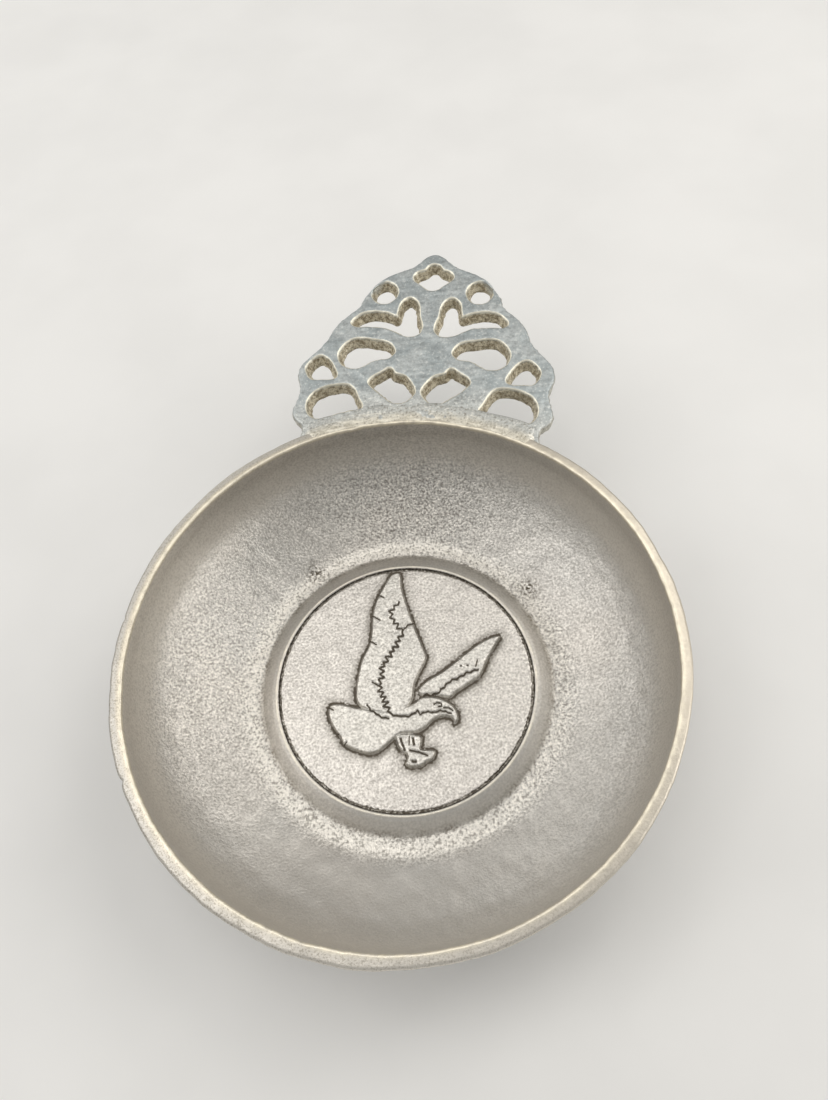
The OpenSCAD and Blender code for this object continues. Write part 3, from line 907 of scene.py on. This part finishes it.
def feather_lines():
    """Cut lines on the bird, as (line, half width)."""
    # the edge of the tall wing's short feathers, from the tip down to the breast
    short_feathers = [
        (zigzag([(-4.1, 23.9), (-6.2, 20.6), (-5.4, 18), (-3.7, 16.3), (-2.2, 14.3)], 13, 0.6, 51), 0.26),
        (zigzag([(-2.2, 14.3), (-3.1, 11.4), (-4.7, 8), (-6.6, 4), (-6.4, 0.8), (-7.1, -1.7)],
                21, 0.7, 52), 0.34),
        (zigzag([(-7.1, -1.7), (-6.3, -4), (-4.7, -6.1), (-3.9, -8.7)], 11, 0.75, 53), 0.3),
        (zigzag([(-2.2, 14.3), (-1.4, 16), (0.8, 17.6)], 6, 0.3, 54), 0.24),
        (zigzag([(-3.9, -8.7), (-2.2, -9.8), (1.8, -9.8), (3.7, -8.7)], 9, 0.12, 55), 0.3),
    ]
    # notches between the long feathers along its outer edge
    notches = [
        ([(-11.5, 26.1), (-8.7, 25)], 0.22),
        ([(-11.8, 19.3), (-9, 17.8)], 0.22),
        ([(-11.6, 11.5), (-9.2, 10.3)], 0.22),
        ([(-8.9, -0.8), (-7.2, -1.7)], 0.26),
        ([(-5.6, 5.2), (-7, 4.4)], 0.2),
    ]
    tail = [
        (zigzag([(-9.6, -7.4), (-8.3, -8.8), (-6.3, -9.9), (-5.2, -10.5), (-3.4, -10.7)],
                9, 0.14, 56), 0.28),
        ([(-20.2, -8.6), (-18.6, -9.4)], 0.2),
        ([(-17.8, -15.6), (-16.2, -15.8)], 0.2),
        ([(-14.6, -19), (-13.8, -17.8)], 0.2),
    ]
    head = [
        (zigzag([(3.7, -8.7), (4.4, -7.7), (4.7, -9.2), (6.2, -8.2), (9, -8.2), (10.4, -7.5), (13.2, -8.2)],
                16, 0.14, 57), 0.24),
        ([(8.4, -6), (9.2, -5.5), (10.3, -5.6), (10.6, -6.4), (9.6, -6.6)], 0.2),
        ([(11, -6.8), (12.4, -6.7), (13.6, -7.4)], 0.2),
    ]
    far_wing = [
        (zigzag([(5.3, -3.9), (8.6, -3.1), (9.8, -2.1), (12, 0.6), (14.6, 1.8), (16, 3.2), (19.6, 4.4)],
                17, 0.3, 58), 0.32),
        ([(19.3, 7.3), (19, 5.5)], 0.18),
        ([(14.8, 5.3), (15.1, 5.3)], 0.2),
        ([(16.6, 5.6), (16.9, 5.6)], 0.2),
    ]
    claws = [
        ([(0.4, -15.9), (1, -17.3), (1.8, -18.9)], 0.34),
        ([(3.7, -15.7), (4.1, -17.1)], 0.38),
        ([(2.6, -15), (2.8, -17.4)], 0.16),
        ([(3.1, -18.8), (5.6, -19.1), (7.9, -19.8)], 0.26),
        ([(4.1, -21.6), (5, -21.6)], 0.36),
    ]
    return short_feathers + notches + tail + head + far_wing + claws


def make_medallion():
    rings, columns = 116, 620
    depths = np.array([0.12, 0.4, 1.55])    # down the rim, below the top face
    top_radii = np.linspace(MIDDLE_R, DISC_R - 0.25, rings)
    radius = np.concatenate([top_radii, [DISC_R - 0.12, DISC_R, DISC_R, MIDDLE_R]])
    height = np.concatenate([np.full(rings, DISC_TOP), DISC_TOP - depths, [DISC_TOP - depths[-1]]])
    turn = all_round(columns)
    edge = circle(turn, DISC_R)
    grid_r = np.repeat(radius[:, None], columns, 1)
    nibbled = smoothstep(DISC_R - 1.2, DISC_R - 0.1, grid_r) * (grid_r > 1)
    grid_r = grid_r - nibbled * np.abs(0.12 * lumps(edge, 1.1, 61) + 0.1 * lumps(edge, 2.3, 62))
    grid_z = np.repeat(height[:, None], columns, 1)
    points = np.stack([grid_r * np.cos(turn), grid_r * np.sin(turn), grid_z], -1).reshape(-1, 3)
    disc = build("medallion_disc", points, turned_faces(len(radius), columns, True))
    away = bird_distance(points[:, :2])
    top = points[:, 2] > DISC_TOP - 0.05
    sunk = -0.12 * np.exp(-(away / 0.9) ** 2) * top
    points[:, 2] += sunk + top * 0.03 * lumps(points, 4, 63)
    set_positions(disc, points)
    paint_medallion(disc, points, away)
    disc.data.materials.append(medallion_metal("medallion_field_metal", (0.69, 0.66, 0.625)))
    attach(disc, "root")
    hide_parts("medallion")


def paint_medallion(disc, points, away):
    """Dark lines along the rim and round the bird, painted shade beside it and a painted shadow to its
    lower right, from each point's distance to it.
    """
    from_axis = np.hypot(points[:, 0], points[:, 1])
    towards = points[:, :2] / np.maximum(from_axis, 1e-6)[:, None]
    on_rim = np.column_stack([towards * DISC_R, 0 * away])
    tone_weight = 0.46 + 0.2 * lumps(on_rim, 20, 64) + 0.1 * lumps(on_rim, 3.5, 66)
    rim_dark = smoothstep(DISC_R - 0.9, DISC_R - 0.1, from_axis) * tone_weight
    uneven = 0.86 + 0.16 * lumps(points, 1.3, 67) + 0.12 * lumps(points, 6, 68)
    outline = np.exp(-(np.clip(away - 0.1, 0, None) / 0.62) ** 1.5) * uneven
    hatching = 1 + 0.35 * lumps(points, 0.8, 69)
    # painted shade round the bird, and a painted shadow cast to its lower right
    halo_shade = 0.62 * np.exp(-(np.clip(away, 0, None) / 1.7) ** 2) * hatching
    shadow = bird_distance(points[:, :2] + (-0.9, 1.3))
    cast_shadow = 0.75 * smoothstep(0.5, -0.6, shadow)
    paint(disc, "dark", np.clip(np.maximum(rim_dark, outline), 0, 1))
    paint(disc, "shade", np.clip(np.maximum(halo_shade, cast_shadow), 0, 1))


def make_medallion_solder():
    """The layer under the disc, which also fills the gap round it nearly to the top."""
    columns = 360
    turn = all_round(columns)
    gap_fill = DISC_TOP - 0.28 + 0.06 * lumps(circle(turn, DISC_R), 2.5, 65)
    low = np.full(columns, SEAT_Z - 0.05)
    high = np.full(columns, SEAT_Z + 0.38)
    section = [
        (MIDDLE_R, high), (DISC_R - 0.6, high), (DISC_R - 0.5, gap_fill), (SEAT_R + 0.1, gap_fill),
        (SEAT_R + 0.1, low), (MIDDLE_R, low),
    ]
    points = np.vstack([np.stack([r * np.cos(turn), r * np.sin(turn), z], 1) for r, z in section])
    layer = build("medallion_solder", points, turned_faces(len(section), columns, True))
    paint(layer, "dark", np.full(len(points), 0.5))
    layer.data.materials.append(medallion_metal("dark_solder", (0.34, 0.32, 0.28)))
    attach(layer, "root")
    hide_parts("medallion_solder")


def make_bird():
    """The bird as a fine grid over its outline, raised and cut, with a flat underside inside the disc."""
    step = 0.18
    gx, gy = np.meshgrid(np.arange(-22, 27.5, step), np.arange(-25, 35, step), indexing="ij")
    flat = np.stack([gx.ravel(), gy.ravel()], 1)
    away = bird_distance(flat)
    rise = RELIEF_TOP - DISC_TOP
    cuts = np.zeros(len(flat))
    for cut, half_width in feather_lines():
        cuts = np.maximum(cuts, np.exp(-(distance_to_line(flat, cut) / half_width) ** 2))
    in_3d = np.column_stack([flat, 0 * flat[:, 0]])
    pillow = smoothstep(-0.25, 0.75, -away)
    height = -0.3 + (rise + 0.22) * pillow - 0.42 * cuts * pillow + 0.03 * lumps(in_3d, 3, 71) * pillow
    height = np.minimum(height, rise - 0.01)
    keep = (away < 0.45).reshape(gx.shape)
    cell = keep[:-1, :-1] & keep[1:, :-1] & keep[:-1, 1:] & keep[1:, 1:]
    index = np.arange(gx.size).reshape(gx.shape)
    corners = (index[:-1, :-1], index[1:, :-1], index[1:, 1:], index[:-1, 1:])
    quads = np.stack([corner[cell] for corner in corners], 1)
    used, renumbered = np.unique(quads, return_inverse=True)
    quads = renumbered.reshape(quads.shape)
    count = len(used)
    top = np.column_stack([flat[used], DISC_TOP + height[used]])
    bottom = np.column_stack([flat[used], np.full(count, DISC_TOP - 0.5)])
    sides = np.concatenate([quads[:, [i, (i + 1) % 4]] for i in range(4)])
    one_way = sides[:, 0] * count + sides[:, 1]
    other_way = sides[:, 1] * count + sides[:, 0]
    border = sides[~np.isin(one_way, other_way)]    # sides that only one quad has
    walls = np.stack([border[:, 1], border[:, 0], border[:, 0] + count, border[:, 1] + count], 1)
    faces = np.concatenate([quads, quads[:, ::-1] + count, walls])
    bird = build("bird_relief", np.vstack([top, bottom]), faces)
    dark = np.maximum(cuts[used], 0.85 * smoothstep(-0.25, 0.2, away[used]))
    paint(bird, "dark", np.concatenate([dark, np.ones(count)]))
    # painted shade: the bird a little darker towards its edges
    shade = 0.2 * smoothstep(-0.9, 0, away[used])
    paint(bird, "shade", np.concatenate([shade, np.ones(count)]))
    bird.data.materials.append(medallion_metal("bird_metal", (0.70, 0.68, 0.64)))
    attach(bird, "root")
    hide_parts("bird_relief")


# ---------------------------------------------------------------- stage, light and camera

def make_stage():
    just_below = cad_low[2] - 0.2 * MM
    bpy.ops.mesh.primitive_plane_add(size=1.6, location=(0, 0, just_below))
    floor = bpy.context.active_object
    floor.name = "studio_floor"
    m = Paint("pale_floor", metallic=0.0)
    tone = m.mix(m.span(m.noise(60.0, 3.0, 0.5), 0.3, 0.7), (0.82, 0.82, 0.815), (0.86, 0.86, 0.855))
    floor.data.materials.append(m.finish(tone, 0.7, m.bump(m.noise(1.0), 0.02, 0.3)))


def add_softbox(name, azimuth, elevation, power, colour):
    """A square soft light about a metre away, shining at the bowl from this direction in degrees."""
    turn, lift = math.radians(azimuth), math.radians(elevation)
    towards = Vector((math.cos(lift) * math.cos(turn), math.cos(lift) * math.sin(turn), math.sin(lift)))
    light = bpy.data.lights.new(name, "AREA")
    light.size = 0.5
    light.energy = power
    light.color = colour
    obj = bpy.data.objects.new(name, light)
    bpy.context.scene.collection.objects.link(obj)
    obj.location = 0.95 * towards
    obj.rotation_euler = towards.to_track_quat("Z", "Y").to_euler()


def make_lights():
    world = bpy.data.worlds.new("studio")
    bpy.context.scene.world = world
    world.use_nodes = True
    background = world.node_tree.nodes["Background"]
    background.inputs["Color"].default_value = (1.0, 0.985, 0.95, 1.0)
    background.inputs["Strength"].default_value = 0.45
    warm, cool = (1.0, 0.97, 0.92), (1.0, 0.98, 0.95)
    add_softbox("softbox_above", 135, 72, 1.14, warm)
    add_softbox("softbox_right_low", 0, 22, 2.0, warm)
    add_softbox("softbox_right_back", 45, 48, 1.95, warm)
    add_softbox("softbox_left", 180, 48, 1.68, cool)
    add_softbox("softbox_left_back", 135, 22, 0.7, cool)


def make_camera():
    elevation, azimuth, roll = math.radians(60.06), math.radians(14.18), math.radians(-10.16)
    camera_data = bpy.data.cameras.new("camera")
    camera_data.lens = 25.85
    camera_data.clip_start = 0.01
    camera = bpy.data.objects.new("camera", camera_data)
    turn = Matrix.Rotation(azimuth, 4, "Z") @ Matrix.Rotation(math.pi / 2 - elevation, 4, "X")
    place = Matrix.Translation((0.02743, -0.07293, 0.21008))
    camera.matrix_world = place @ turn @ Matrix.Rotation(roll, 4, "Z")
    bpy.context.scene.collection.objects.link(camera)
    bpy.context.scene.camera = camera


make_bowl()
make_handle()
make_seam_top()
make_seam_under()
make_medallion()
make_medallion_solder()
make_bird()
make_stage()
make_lights()
make_camera()
bpy.context.scene.view_settings.view_transform = "Standard"
